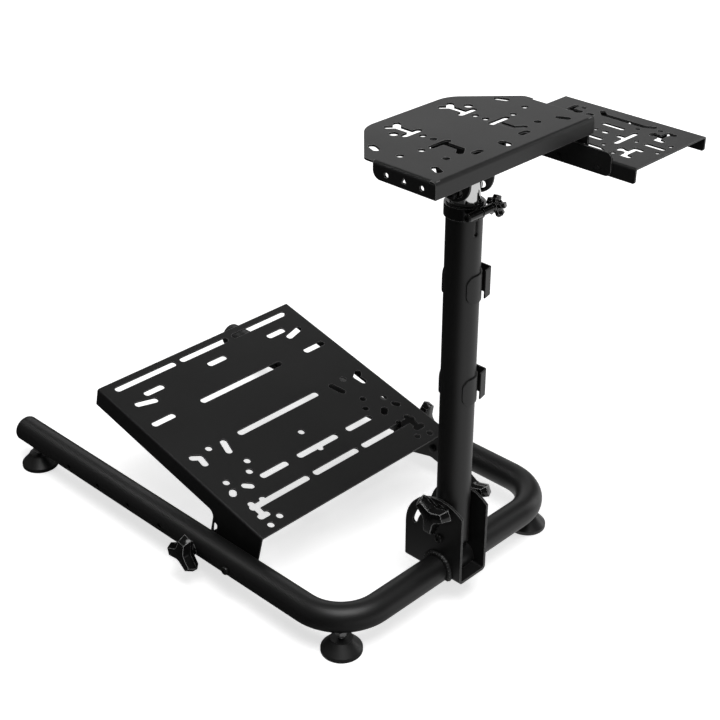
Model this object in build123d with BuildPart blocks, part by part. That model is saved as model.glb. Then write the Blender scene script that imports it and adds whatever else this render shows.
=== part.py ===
from build123d import *

import os
from math import asin, atan2, cos, degrees, radians, sin, sqrt

os.makedirs("parts", exist_ok=True)

# Racing wheel stand: a bent tube base, a folding column, a tilting wheel plate with a side plate
# for a gear shifter, and a tilting pedal plate.
# Millimetres. X runs to the user's right, Y from the user to the pedals, Z up from the floor.
# Y = 0 is the cross tube's axis and X = 0 the middle of the base.

# Bolts and clearances
bolt_d = 8.0
small_bolt_d = 6.0
head_d = 14.0
head_height = 5.0
small_head_d = 11.0
small_head_height = 3.0
head_edge = 1.0
fixed_gap = 0.1
running_gap = 0.05
sliding_gap = 0.3

# Base tube
tube_d = 45.0
tube_wall = 2.0
axis_height = 61.0
rail_spacing = 476.0
bend_radius = 75.0
rail_reach = 777.0
rail_hole_first = 225.0
rail_hole_pitch = 80.0
rail_hole_count = 6
cap_flange = 3.0
cap_plug = 18.0
cap_edge = 2.0

# Levelling feet
foot_d = 63.0
foot_rim = 7.0
foot_height = 25.0
foot_neck_d = 34.0
foot_edge = 2.0
stud_d = 10.0
stud_bottom = 10.0
stud_reach = 8.0
foot_nut_across = 17.0
foot_nut_height = 7.0
rear_foot_inset = 29.0

# Column bracket, a bent U of plate
bracket_sheet = 4.0
bracket_drop = 12.5
bracket_front = 43.0
bracket_bend = 7.0
pivot_rise = 54.0
bracket_arc_r = 68.0
lock_radius = 50.0
lock_sweep = 80.0
lock_slot_w = 9.0
weld_width = 4.5
weld_length = 5.0

# Column
column_d = 50.8
column_wall = 2.0
column_drop = 97.0
column_side_gap = 0.5
swing_gap = 5.0
slit_width = 3.0
slit_depth = 41.0
slit_end_d = 6.0
slit_offset = 4.0

# Star knobs
knob_d = 68.0
knob_arms = 3
knob_arm_w = 16.0
knob_valley_r = 15.0
knob_height = 20.0
knob_stem = 6.0
knob_stem_d = 24.0
column_knob_turn = 37.0
pedal_knob_turn = 107.0
small_knob_d = 33.0
small_knob_arms = 5
small_knob_arm_w = 8.0
small_knob_valley_r = 9.5
small_knob_height = 12.5
small_knob_stem = 6.5
small_knob_stem_d = 11.0
small_knob_turn = 90.0
knob_face = 0.8
knob_waist = 0.35

# Cable clips
clip_height = 42.0
clip_sheet = 2.2
clip_drops = {"upper": 124.0, "lower": 286.0}
clip_open_half = 55.0
clip_tongue_r = 14.0
hook_out = 11.0
hook_run = 21.0
hook_turn = 17.0
hook_bend = 4.0

# Clamp collar and guide sleeve
collar_height = 18.0
collar_wall = 3.0
collar_drop = 1.0
lug_d = 12.0
lug_offset = 31.0
lug_left = 30.0
lug_right = 16.0
sleeve_length = 60.0
sleeve_flange = 1.5

# Inner tube
mast_d = 42.4
mast_wall = 2.0
mast_length = 381.0
mast_above_pivot = 16.5
sleeve_gap = 0.2

# Tilt bracket under the wheel plate
tilt_drop = 62.5
tilt_arc_r = 28.5
tilt_lock_radius = 18.5
tilt_lock_half = 40.0
tilt_slot_w = 8.8
tilt_sheet = 3.0
tilt_side_gap = 0.8
tilt_web_length = 90.0
tilt_web_lip = 12.0
tilt_bend = 5.0

# Wheel plate
wheel_sheet = 3.0
wheel_top = 752.0
wheel_width = 318.0
wheel_front = 86.5
wheel_back = 107.5
wheel_flange = 23.0
wheel_bend = 5.0
wheel_back_half = 82.5
wheel_side_end = 33.0
wheel_back_r = 45.0
wheel_side_r = 12.5
side_flange_end = 18.0
side_flange_r = 12.0
side_flange_relief = 2.5
side_hole_d = 7.0
side_hole_middle = -34.5
side_hole_pitch = 59.0
side_hole_drop = 13.4
side_triangle = 5.0

# Shifter plate and the bracket that carries it
shifter_sheet = 2.5
shifter_width = 168.0
shifter_length = 240.0
shifter_front = -162.0
shifter_drop = 51.5
shifter_flange = 22.0
shifter_bend = 4.0
strip_sheet = 3.0
strip_front = -124.5
strip_back = 15.0
strip_height = 34.0
strip_corner = 9.0
leg_front = -82.0
leg_top_gap = 2.0
shifter_bolt_front = -103.0
shifter_bolt_pitch = 66.0
shifter_bolt_drop = 15.5

# Pedal plate
pedal_sheet = 2.5
pedal_width = 426.0
pedal_length = 405.5
pedal_front = 18.6
pedal_rise = 55.2
pedal_tilt = 14.2
pedal_steepest = 26.0
pedal_flange = 33.0
pedal_bend = 4.0
ear_back = 87.5
ear_front_drop = 20.0
ear_edge = 7.0
ear_ramp_end = 51.5
ear_corner = 12.0

# Cut-outs in the wheel plate, right half, from the middle of the stand
wheel_slot_w = 10.5
wheel_large_hole_d = 13.5
wheel_large_hole = (74.0, 62.0)
wheel_holes = ((52.0, 31.0), (52.0, 13.0), (91.0, -2.0), (91.0, -43.0), (124.0, 4.5))
wheel_stem_x = 53.0
wheel_slots = (
    ((wheel_stem_x, 48.0), (wheel_stem_x, 76.0)),
    ((wheel_stem_x, 76.0), (wheel_stem_x - 9.3, 84.5)),
    ((wheel_stem_x, 76.0), (wheel_stem_x + 9.3, 84.5)),
    ((42.0, 48.0), (68.0, 48.0)),
    ((44.5, -4.2), (73.5, -4.2)),
    ((wheel_stem_x, -4.2), (wheel_stem_x, -34.5)),
    ((wheel_stem_x, -34.5), (64.0, -42.0)),
    ((42.0, -56.0), (52.0, -56.0)),
    ((124.0, -53.5), (128.4, -63.8)),
    ((124.2, 52.8), (129.0, 40.8)),
)
wheel_middle_slot_w = 14.0
wheel_middle_slot = ((0.0, -65.0), (0.0, -59.0))

# Cut-outs in the shifter plate, right half, from its own middle and front edge
shifter_slot_w = 9.0
shifter_hole_d = 8.0
shifter_holes = ((16.0, 13.0), (56.0, 57.0), (40.0, 84.0), (58.0, 190.0))
shifter_middle_holes = ((0.0, 58.0), (0.0, 126.5))
shifter_slots = (
    ((24.5, 42.5), (54.0, 42.5)),
    ((24.5, 42.5), (24.5, 33.0)),
    ((54.0, 42.5), (54.0, 33.0)),
    ((38.5, 42.5), (38.5, 57.5)),
    ((36.0, 57.5), (41.0, 57.5)),
    ((26.0, 100.0), (26.0, 130.0)),
    ((54.6, 83.0), (54.6, 151.5)),
    ((54.6, 83.0), (61.0, 70.5)),
    ((54.6, 151.5), (63.5, 160.5)),
    ((40.3, 203.0), (56.5, 203.0)),
    ((41.5, 203.0), (41.5, 184.5)),
    ((37.5, 188.5), (41.5, 186.0)),
    ((42.0, 165.5), (42.0, 169.5)),
)
shifter_middle_slots = (
    ((0.0, 15.5), (0.0, 40.5)),
    ((0.0, 75.5), (0.0, 87.0)),
    ((-22.5, 75.5), (22.5, 75.5)),
    ((0.0, 108.5), (0.0, 112.5)),
)

# Cut-outs in the pedal plate, right half, from its middle and front edge
pedal_slot_w = 12.0
pedal_hole_d = 11.5
pedal_holes = (
    (152.0, 196.0),
    (132.0, 120.0),
    (178.5, 122.0),
    (157.0, 21.0),
    (181.0, 14.7),
)
pedal_row_holes = ((-119.0, 140.0), (0.0, 140.0), (145.0, 140.0))
pedal_slots = (
    ((69.8, 387.0), (184.2, 387.0)),
    ((122.8, 353.0), (151.2, 353.0)),
    ((152.0, 333.0), (180.0, 340.0)),
    ((151.8, 288.0), (186.2, 288.0)),
    ((177.0, 187.5), (187.0, 193.8)),
    ((177.0, 187.5), (179.2, 173.0)),
    ((122.4, 193.8), (128.6, 173.5)),
    ((72.8, 100.5), (119.2, 100.5)),
    ((183.0, 101.0), (186.5, 97.0)),
    ((151.5, 94.5), (158.5, 100.5)),
    ((66.8, 57.0), (180.2, 57.0)),
    ((176.0, 57.0), (176.0, 36.0)),
    ((170.8, 36.0), (182.2, 36.0)),
    ((177.0, 57.0), (177.0, 64.5)),
    ((155.0, 57.0), (155.0, 62.5)),
)
pedal_middle_slots = (
    ((-47.2, 387.0), (47.2, 387.0)),
    ((-14.2, 353.0), (14.2, 353.0)),
    ((-84.2, 288.0), (84.2, 288.0)),
    ((-83.8, 195.0), (83.8, 195.0)),
    ((-38.8, 100.5), (38.8, 100.5)),
    ((0.0, 100.5), (0.0, 95.0)),
    ((-44.2, 57.0), (44.2, 57.0)),
)

# Places worked out from the sizes above
tube_r = tube_d / 2
bolt_r = bolt_d / 2
small_bolt_r = small_bolt_d / 2
rail_x = rail_spacing / 2
rail_outer = rail_x + tube_r
column_r = column_d / 2
mast_r = mast_d / 2
pivot_z = axis_height + pivot_rise
lock_z = pivot_z + lock_radius
bracket_inner = column_r + column_side_gap
bracket_outer = bracket_inner + bracket_sheet
bracket_bottom = axis_height - bracket_drop
wheel_half = wheel_width / 2
wheel_under = wheel_top - wheel_sheet
column_top = wheel_top - column_drop
tilt_z = wheel_top - tilt_drop
tilt_lock_z = tilt_z - tilt_lock_radius
tilt_inner = mast_r + tilt_side_gap
tilt_outer = tilt_inner + tilt_sheet
side_hole_z = wheel_top - side_hole_drop
leg_outer = wheel_half - wheel_sheet
strip_outer = leg_outer - strip_sheet
strip_inner = strip_outer - strip_sheet
shifter_x = strip_outer + shifter_width / 2
shifter_top = wheel_top - shifter_drop
strip_bottom = shifter_top - shifter_flange
shifter_bolt_z = shifter_top - shifter_bolt_drop
pedal_lock_reach = rail_hole_pitch
pedal_half = pedal_width / 2
ear_inner = pedal_half - pedal_sheet
ear_drop = pedal_lock_reach * sin(radians(pedal_steepest)) + bolt_r + ear_edge

# The files are written about the middle of the whole stand, at floor level
knob_reach = rail_outer + sliding_gap + knob_stem + knob_height
right_reach = strip_outer + shifter_width
rear_reach = rail_reach + cap_flange
centre_x = (right_reach - knob_reach) / 2
centre_y = (rear_reach + shifter_front) / 2
to_centre = Location((-centre_x, -centre_y, 0))


def write(piece, name):
    """Move a finished piece to the stand's middle and write it under its own name."""
    placed = piece.part.moved(to_centre)
    placed.label = name
    export_step(placed, "parts/" + name + ".step")


def across(x):
    """A plane at x that faces along X, with Y and Z as its own two axes."""
    return Plane(origin=(x, 0, 0), x_dir=(0, 1, 0), z_dir=(1, 0, 0))


def slot_between(start, end, width):
    """Add a round-ended slot between two centres to the sketch in hand."""
    span = Vector(*end) - Vector(*start)
    middle = (Vector(*start) + Vector(*end)) / 2
    with Locations(middle):
        SlotCenterToCenter(span.length, width, rotation=degrees(atan2(span.Y, span.X)))


def cross_bolt(middle, shank_d, grip, cap_d, cap_height):
    """A bolt through the middle plane, with a low round head on one side and its nut on the other."""
    with BuildPart() as bolt:
        with BuildSketch(middle.offset(-grip / 2)):
            Circle(shank_d / 2)
        extrude(amount=grip)
        with BuildSketch(middle.offset(grip / 2)):
            Circle(cap_d / 2)
        extrude(amount=cap_height)
        far_end = bolt.faces().sort_by(Axis(middle.origin, middle.z_dir))[-1]
        fillet(far_end.edges(), radius=head_edge)
        with BuildSketch(middle.offset(-grip / 2)):
            RegularPolygon(cap_d / 2, 6)
        extrude(amount=-cap_height)
    return bolt


def star_outline(turn, arm_count, arm_width, tip, valley):
    """Corners of a star whose arms end blunt and whose valleys are flat."""
    arm_half = degrees(asin(arm_width / 2 / tip))
    pitch = 360 / arm_count
    corners = []
    for arm in range(arm_count):
        middle = turn + arm * pitch
        corners.append((tip, middle - arm_half))
        corners.append((tip, middle + arm_half))
        corners.append((valley, middle + pitch / 2 - arm_half))
        corners.append((valley, middle + pitch / 2 + arm_half))
    return [(reach * cos(radians(angle)), reach * sin(radians(angle))) for reach, angle in corners]


def star_knob(seat, turn, star, height, stem_height, stem_d, bore_d):
    """A moulded knob on its seat plane: a round stem, then a star widest at its waist."""
    arm_count, arm_width, tip, valley = star
    waist_star = star_outline(turn, arm_count, arm_width, tip, valley)
    face_star = star_outline(turn, arm_count, arm_width * knob_face, tip * knob_face, valley * knob_face)
    waist = seat.offset(stem_height + height * knob_waist)
    with BuildPart() as knob:
        with BuildSketch(seat):
            Circle(stem_d / 2)
        extrude(amount=stem_height + height / 2)
        for face in (seat.offset(stem_height), seat.offset(stem_height + height)):
            with BuildSketch(face):
                Polygon(*face_star, align=None)
            with BuildSketch(waist):
                Polygon(*waist_star, align=None)
            loft(ruled=True)
        with BuildSketch(seat):
            Circle(bore_d / 2 + fixed_gap)
        extrude(amount=stem_height + height / 2, mode=Mode.SUBTRACT)
    return knob


# U-shaped base tube, bent from one length
with BuildPart() as base_tube:
    with BuildLine(Plane.XY.offset(axis_height)) as base_path:
        FilletPolyline(
            (-rail_x, rail_reach),
            (-rail_x, 0),
            (rail_x, 0),
            (rail_x, rail_reach),
            radius=bend_radius,
        )
    with BuildSketch(base_path.line ^ 0):
        Circle(tube_r)
        Circle(tube_r - tube_wall, mode=Mode.SUBTRACT)
    sweep()
    # Six cross holes along each rail, for the pedal plate's pivots and clamps
    with BuildSketch(across(-rail_outer)):
        for step in range(rail_hole_count):
            with Locations((rail_hole_first + step * rail_hole_pitch, axis_height)):
                Circle(bolt_r + fixed_gap)
    extrude(amount=2 * rail_outer, mode=Mode.SUBTRACT)
    # A threaded hole under each foot
    foot_bend = bend_radius * (1 - sqrt(0.5))
    front_foot = (rail_x - foot_bend, foot_bend)
    rear_foot = (rail_x, rail_reach - rear_foot_inset)
    foot_places = {
        "front_left": (-front_foot[0], front_foot[1]),
        "front_right": front_foot,
        "rear_left": (-rear_foot[0], rear_foot[1]),
        "rear_right": rear_foot,
    }
    with BuildSketch(Plane.XY):
        with Locations(*foot_places.values()):
            Circle(stud_d / 2 + fixed_gap)
    extrude(amount=axis_height, mode=Mode.SUBTRACT)
write(base_tube, "base_tube")

# Moulded caps in the rails' rear ends
for side, name in ((-1, "left"), (1, "right")):
    rail_end = Plane(origin=(side * rail_x, rail_reach, axis_height), z_dir=(0, 1, 0))
    with BuildPart() as rail_cap:
        with BuildSketch(rail_end):
            Circle(tube_r)
        extrude(amount=cap_flange)
        fillet(rail_cap.edges().sort_by(Axis.Y)[-1], radius=cap_edge)
        with BuildSketch(rail_end):
            Circle(tube_r - tube_wall - fixed_gap)
            Circle(tube_r - 2 * tube_wall - fixed_gap, mode=Mode.SUBTRACT)
        extrude(amount=-cap_plug)
    write(rail_cap, "rail_cap_" + name)

# Levelling feet: a moulded pad with a coned top, a threaded stud and its lock nut under the tube
tube_underside = axis_height - tube_r
for name, (foot_x, foot_y) in foot_places.items():
    foot_floor = Plane(origin=(foot_x, foot_y, 0), x_dir=(1, 0, 0), z_dir=(0, 0, 1))
    with BuildPart() as foot_pad:
        with BuildSketch(Plane(origin=(foot_x, foot_y, 0), x_dir=(1, 0, 0), z_dir=(0, -1, 0))):
            with BuildLine():
                Polyline(
                    (0, 0),
                    (foot_d / 2, 0),
                    (foot_d / 2, foot_rim),
                    (foot_neck_d / 2, foot_height - foot_edge),
                    (foot_neck_d / 2, foot_height),
                    (0, foot_height),
                    close=True,
                )
            make_face()
        revolve(axis=Axis((foot_x, foot_y, 0), (0, 0, 1)))
        fillet(foot_pad.edges().filter_by(GeomType.CIRCLE).sort_by(SortBy.RADIUS)[-2:], radius=foot_edge)
        with BuildSketch(foot_floor.offset(stud_bottom)):
            Circle(stud_d / 2 + fixed_gap)
        extrude(amount=foot_height, mode=Mode.SUBTRACT)
    write(foot_pad, "foot_pad_" + name)

    with BuildPart() as foot_stud:
        with BuildSketch(foot_floor.offset(stud_bottom)):
            Circle(stud_d / 2)
        extrude(amount=tube_underside + stud_reach - stud_bottom)
        with BuildSketch(foot_floor.offset(tube_underside - foot_nut_height)):
            RegularPolygon(foot_nut_across / 2, 6, major_radius=False)
        extrude(amount=foot_nut_height)
    write(foot_stud, "foot_stud_" + name)

# Column bracket: a U of plate welded over the cross tube, with an arc slot for the clamp bolt
lock_path = CenterArc((0, pivot_z), lock_radius, 90 - lock_sweep, lock_sweep)
bracket_shoulder = pivot_z + sqrt(bracket_arc_r**2 - bracket_front**2)
with BuildPart() as column_bracket:
    with BuildSketch(across(-bracket_outer)):
        with BuildLine():
            Line((-bracket_front, bracket_bottom), (-bracket_front, bracket_shoulder))
            ThreePointArc(
                (-bracket_front, bracket_shoulder),
                (0, pivot_z + bracket_arc_r),
                (bracket_arc_r, pivot_z),
            )
            Line((bracket_arc_r, pivot_z), (bracket_arc_r, bracket_bottom))
            Line((bracket_arc_r, bracket_bottom), (-bracket_front, bracket_bottom))
        make_face()
    extrude(amount=2 * bracket_outer)
    bottom_edges = column_bracket.edges().filter_by(Axis.Y).sort_by(Axis.Z)[:2]
    fillet(bottom_edges, radius=bracket_bend)
    # The space between the plates
    with BuildSketch(Plane.XZ.offset(-bracket_arc_r)) as clevis_space:
        with Locations((0, bracket_bottom + bracket_sheet)):
            Rectangle(
                2 * bracket_inner,
                pivot_rise + bracket_drop + bracket_arc_r,
                align=(Align.CENTER, Align.MIN),
            )
        fillet(clevis_space.vertices().sort_by(Axis.Y)[:2], radius=bracket_bend - bracket_sheet)
    extrude(amount=bracket_arc_r + bracket_front, mode=Mode.SUBTRACT)
    # Weld beads round the tube, outside both plates
    for side in (-1, 1):
        with BuildSketch(across(side * bracket_outer)):
            with Locations((0, axis_height)):
                Circle(tube_r + weld_width)
            with Locations((0, bracket_bottom)):
                Rectangle(
                    2 * (tube_r + weld_width),
                    2 * tube_r,
                    align=(Align.CENTER, Align.MAX),
                    mode=Mode.SUBTRACT,
                )
        extrude(amount=side * weld_length)
    # The cross tube's passage, the pivot hole and the arc slots
    with BuildSketch(across(-bracket_outer - weld_length)):
        with Locations((0, axis_height)):
            Circle(tube_r)
        with Locations((0, pivot_z)):
            Circle(bolt_r + fixed_gap)
        SlotArc(lock_path, height=lock_slot_w)
    extrude(amount=2 * (bracket_outer + weld_length), mode=Mode.SUBTRACT)
write(column_bracket, "column_bracket")

# Column pivot bolt, through the bracket and the column's foot
pivot_middle = Plane(origin=(0, 0, pivot_z), x_dir=(0, 1, 0), z_dir=(-1, 0, 0))
column_pivot_bolt = cross_bolt(pivot_middle, bolt_d, 2 * bracket_outer, head_d, head_height)
write(column_pivot_bolt, "column_pivot_bolt")

# Column clamp: one stud through both arc slots, with a star knob on each end
knob_seat = bracket_outer + sliding_gap
knob_bore = knob_stem + knob_height / 2
large_star = (knob_arms, knob_arm_w, knob_d / 2, knob_valley_r)
with BuildPart() as column_clamp_bolt:
    with BuildSketch(across(-knob_seat - knob_bore)):
        with Locations((0, lock_z)):
            Circle(bolt_r)
    extrude(amount=2 * (knob_seat + knob_bore))
write(column_clamp_bolt, "column_clamp_bolt")
for side, name in ((-1, "left"), (1, "right")):
    seat = Plane(origin=(side * knob_seat, 0, lock_z), x_dir=(0, 1, 0), z_dir=(side, 0, 0))
    knob_turn = side * column_knob_turn
    column_knob = star_knob(seat, knob_turn, large_star, knob_height, knob_stem, knob_stem_d, bolt_d)
    write(column_knob, "column_knob_" + name)

# Column tube, its foot rounded about the pivot and its top slit for the clamp collar
column_end_r = pivot_rise - tube_r - swing_gap
with BuildPart() as column_tube:
    with BuildSketch(Plane.XY.offset(pivot_z - column_end_r)):
        Circle(column_r)
        Circle(column_r - column_wall, mode=Mode.SUBTRACT)
    extrude(amount=column_top - pivot_z + column_end_r)
    with BuildSketch(across(-column_r)):
        with Locations((0, pivot_z)):
            Circle(column_end_r)
            Rectangle(2 * column_end_r, column_top, align=(Align.CENTER, Align.MIN))
    extrude(amount=2 * column_r, mode=Mode.INTERSECT)
    with BuildSketch(across(-column_r)):
        with Locations((0, pivot_z)):
            Circle(bolt_r + running_gap)
        with Locations((0, lock_z)):
            Circle(bolt_r + fixed_gap)
    extrude(amount=2 * column_r, mode=Mode.SUBTRACT)
    with BuildSketch(Plane.XZ):
        with Locations((-slit_offset, column_top - slit_depth)):
            Rectangle(slit_width, slit_depth, align=(Align.CENTER, Align.MIN))
            Circle(slit_end_d / 2)
    extrude(amount=column_r, mode=Mode.SUBTRACT)
write(column_tube, "column_tube")

# Cable clips: a sprung band round the column and a hook on its right that a cable snaps behind
band_inner = column_r + fixed_gap
band_outer = band_inner + clip_sheet
band_middle = band_inner + clip_sheet / 2
hook_x = band_outer + hook_out - clip_sheet
opening = 180 - clip_open_half
for name, clip_drop in clip_drops.items():
    clip_middle = column_top - clip_drop
    clip_bottom = clip_middle - clip_height / 2
    with BuildPart() as cable_clip:
        with BuildSketch(Plane.XY.offset(clip_bottom)):
            with BuildLine():
                CenterArc((0, 0), band_middle, -opening, 2 * opening)
            trace(line_width=clip_sheet)
        extrude(amount=clip_height)
        # Both ends of the band are rounded tongues
        with BuildSketch(Plane.XZ.offset(-band_outer)):
            tongue_tip = band_outer * cos(radians(opening))
            with Locations((tongue_tip, clip_middle)):
                Rectangle(3 * band_outer, clip_height, align=(Align.MIN, Align.CENTER))
            fillet(vertices().group_by(Axis.X)[0], radius=clip_tongue_r)
        extrude(amount=2 * band_outer, mode=Mode.INTERSECT)
        with BuildSketch(Plane.XY.offset(clip_bottom)):
            with BuildLine():
                FilletPolyline(
                    (band_middle, 0),
                    (hook_x, 0),
                    (hook_x, -hook_run),
                    (hook_x - hook_turn, -hook_run - hook_bend),
                    radius=hook_bend,
                )
            trace(line_width=clip_sheet)
        extrude(amount=clip_height)
    write(cable_clip, "cable_clip_" + name)

# Clamp collar: a split ring with two lugs, closed by a bolt with a small star knob
collar_top = column_top - collar_drop
lug_z = collar_top - lug_d / 2
split_side = -slit_offset - slit_width / 2
with BuildPart() as clamp_collar:
    with BuildSketch(Plane.XY.offset(collar_top - collar_height)):
        Circle(column_r + fixed_gap + collar_wall)
    extrude(amount=collar_height)
    with BuildSketch(across(-lug_left)):
        with Locations((-lug_offset, lug_z)):
            Circle(lug_d / 2)
    extrude(amount=lug_left + lug_right)
    with BuildSketch(Plane.XY.offset(collar_top - collar_height)):
        Circle(column_r + fixed_gap)
    extrude(amount=collar_height, mode=Mode.SUBTRACT)
    with BuildSketch(across(-lug_left)):
        with Locations((-lug_offset, lug_z)):
            Circle(small_bolt_r + fixed_gap)
    extrude(amount=lug_left + lug_right, mode=Mode.SUBTRACT)
    with BuildSketch(Plane.XY.offset(collar_top - collar_height)):
        with Locations((split_side, 0)):
            Rectangle(slit_width, lug_offset + lug_d, align=(Align.MIN, Align.MAX))
    extrude(amount=collar_height, mode=Mode.SUBTRACT)
write(clamp_collar, "clamp_collar")

small_bore = small_knob_stem + small_knob_height / 2
with BuildPart() as collar_bolt:
    with BuildSketch(across(-lug_left)):
        with Locations((-lug_offset, lug_z)):
            Circle(small_bolt_r)
    extrude(amount=lug_left + lug_right + small_bore)
    with BuildSketch(across(-lug_left)):
        with Locations((-lug_offset, lug_z)):
            Circle(small_head_d / 2)
    extrude(amount=-small_head_height)
    fillet(collar_bolt.edges().sort_by(Axis.X)[0], radius=head_edge)
write(collar_bolt, "collar_bolt")

small_seat = Plane(origin=(lug_right, -lug_offset, lug_z), x_dir=(0, 1, 0), z_dir=(1, 0, 0))
collar_knob = star_knob(
    small_seat,
    small_knob_turn,
    (small_knob_arms, small_knob_arm_w, small_knob_d / 2, small_knob_valley_r),
    small_knob_height,
    small_knob_stem,
    small_knob_stem_d,
    small_bolt_d,
)
write(collar_knob, "collar_knob")

# Guide sleeve: a split plastic bush in the column's mouth, with a flange on its rim
with BuildPart() as guide_sleeve:
    with BuildSketch(Plane.XY.offset(column_top - sleeve_length)):
        Circle(column_r - column_wall - fixed_gap)
    extrude(amount=sleeve_length)
    with BuildSketch(Plane.XY.offset(column_top)):
        Circle(column_r)
    extrude(amount=sleeve_flange)
    with BuildSketch(Plane.XY.offset(column_top - sleeve_length)):
        Circle(mast_r + sleeve_gap)
    extrude(amount=sleeve_length + sleeve_flange, mode=Mode.SUBTRACT)
    with BuildSketch(Plane.XY.offset(column_top - sleeve_length)):
        with Locations((split_side, 0)):
            Rectangle(slit_width, column_r, align=(Align.MIN, Align.MAX))
    extrude(amount=sleeve_length + sleeve_flange, mode=Mode.SUBTRACT)
write(guide_sleeve, "guide_sleeve")

# Inner tube, chromed, sliding in the sleeve
mast_top = tilt_z + mast_above_pivot
with BuildPart() as inner_tube:
    with BuildSketch(Plane.XY.offset(mast_top - mast_length)):
        Circle(mast_r)
        Circle(mast_r - mast_wall, mode=Mode.SUBTRACT)
    extrude(amount=mast_length)
    with BuildSketch(across(-mast_r)):
        with Locations((0, tilt_z), (0, tilt_lock_z)):
            Circle(bolt_r + fixed_gap)
    extrude(amount=2 * mast_r, mode=Mode.SUBTRACT)
write(inner_tube, "inner_tube")

# Tilt bracket: a U of sheet under the wheel plate, its sides slotted for the clamp bolt
tilt_path = CenterArc((0, tilt_z), tilt_lock_radius, 270 - tilt_lock_half, 2 * tilt_lock_half)
web_half = tilt_web_length / 2
with BuildPart() as tilt_bracket:
    with BuildSketch(across(-tilt_outer)):
        with BuildLine():
            Polyline(
                (-tilt_arc_r, tilt_z),
                (-web_half, wheel_under - tilt_web_lip),
                (-web_half, wheel_under),
                (web_half, wheel_under),
                (web_half, wheel_under - tilt_web_lip),
                (tilt_arc_r, tilt_z),
            )
            ThreePointArc((tilt_arc_r, tilt_z), (0, tilt_z - tilt_arc_r), (-tilt_arc_r, tilt_z))
        make_face()
    extrude(amount=2 * tilt_outer)
    fillet(tilt_bracket.edges().filter_by(Axis.Y).sort_by(Axis.Z)[-2:], radius=tilt_bend)
    with BuildSketch(Plane.XZ.offset(-web_half)) as fork_space:
        with Locations((0, wheel_under - tilt_sheet)):
            Rectangle(2 * tilt_inner, tilt_drop + tilt_arc_r, align=(Align.CENTER, Align.MAX))
        fillet(fork_space.vertices().sort_by(Axis.Y)[-2:], radius=tilt_bend - tilt_sheet)
    extrude(amount=tilt_web_length, mode=Mode.SUBTRACT)
    with BuildSketch(across(-tilt_outer)):
        with Locations((0, tilt_z)):
            Circle(bolt_r + running_gap)
        SlotArc(tilt_path, height=tilt_slot_w)
    extrude(amount=2 * tilt_outer, mode=Mode.SUBTRACT)
write(tilt_bracket, "tilt_bracket")

# The two bolts through the tilt bracket and the inner tube, their heads just clear of its sides
tilt_grip = 2 * (tilt_outer + sliding_gap)
for bolt_z, name in ((tilt_z, "tilt_pivot_bolt"), (tilt_lock_z, "tilt_clamp_bolt")):
    tilt_middle = Plane(origin=(0, 0, bolt_z), x_dir=(0, 1, 0), z_dir=(-1, 0, 0))
    tilt_bolt = cross_bolt(tilt_middle, bolt_d, tilt_grip, head_d, head_height)
    write(tilt_bolt, name)

# Wheel plate: flat sheet with its front and side edges folded down
flange_bottom = wheel_top - wheel_flange
with BuildPart() as wheel_plate:
    with BuildSketch(Plane.XY.offset(wheel_under)):
        with BuildLine():
            Polyline(
                (-wheel_half + wheel_bend, -wheel_front + wheel_bend),
                (-wheel_half + wheel_bend, side_flange_end),
                (-wheel_half, side_flange_end),
            )
            FilletPolyline(
                (-wheel_half, side_flange_end),
                (-wheel_half, wheel_side_end),
                (-wheel_back_half, wheel_back),
                (wheel_back_half, wheel_back),
                (wheel_half, wheel_side_end),
                (wheel_half, side_flange_end),
                radius=(wheel_side_r, wheel_back_r, wheel_back_r, wheel_side_r),
            )
            Polyline(
                (wheel_half, side_flange_end),
                (wheel_half - wheel_bend, side_flange_end),
                (wheel_half - wheel_bend, -wheel_front + wheel_bend),
                (-wheel_half + wheel_bend, -wheel_front + wheel_bend),
            )
        make_face()
    extrude(amount=wheel_sheet)
    # Front fold, over the full width
    with BuildSketch(across(-wheel_half)):
        with BuildLine():
            FilletPolyline(
                (-wheel_front, flange_bottom),
                (-wheel_front, wheel_top),
                (-wheel_front + 2 * wheel_bend, wheel_top),
                radius=wheel_bend,
            )
            offset(amount=wheel_sheet, side=Side.RIGHT)
        make_face()
    extrude(amount=wheel_width)
    # Side folds, ending short of the front one
    with BuildSketch(Plane.XZ.offset(-side_flange_end)):
        with BuildLine():
            FilletPolyline(
                (-wheel_half, flange_bottom),
                (-wheel_half, wheel_top),
                (-wheel_half + 2 * wheel_bend, wheel_top),
                radius=wheel_bend,
            )
            offset(amount=wheel_sheet, side=Side.RIGHT)
        make_face()
        mirror(about=Plane.YZ)
    extrude(amount=side_flange_end + wheel_front - side_flange_relief)
    lower_edges = wheel_plate.edges().filter_by(Axis.X).group_by(Axis.Z)[0]
    fillet(lower_edges.sort_by(Axis.Y)[-2:], radius=side_flange_r)
    # Bolt holes and a pointer hole in both side folds
    with BuildSketch(across(-wheel_half)):
        with Locations((side_hole_middle, side_hole_z)):
            with GridLocations(side_hole_pitch, 0, 2, 1):
                Circle(side_hole_d / 2)
            RegularPolygon(side_triangle, 3, rotation=90)
    extrude(amount=wheel_width, mode=Mode.SUBTRACT)
    # Fixing slots and holes for the wheel base
    with BuildSketch(Plane.XY.offset(wheel_under)):
        with Locations(wheel_large_hole):
            Circle(wheel_large_hole_d / 2)
        with Locations(*wheel_holes):
            Circle(wheel_slot_w / 2)
        for start, end in wheel_slots:
            slot_between(start, end, wheel_slot_w)
        mirror(about=Plane.YZ)
        slot_between(*wheel_middle_slot, wheel_middle_slot_w)
    extrude(amount=wheel_sheet, mode=Mode.SUBTRACT)
write(wheel_plate, "wheel_plate")

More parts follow.
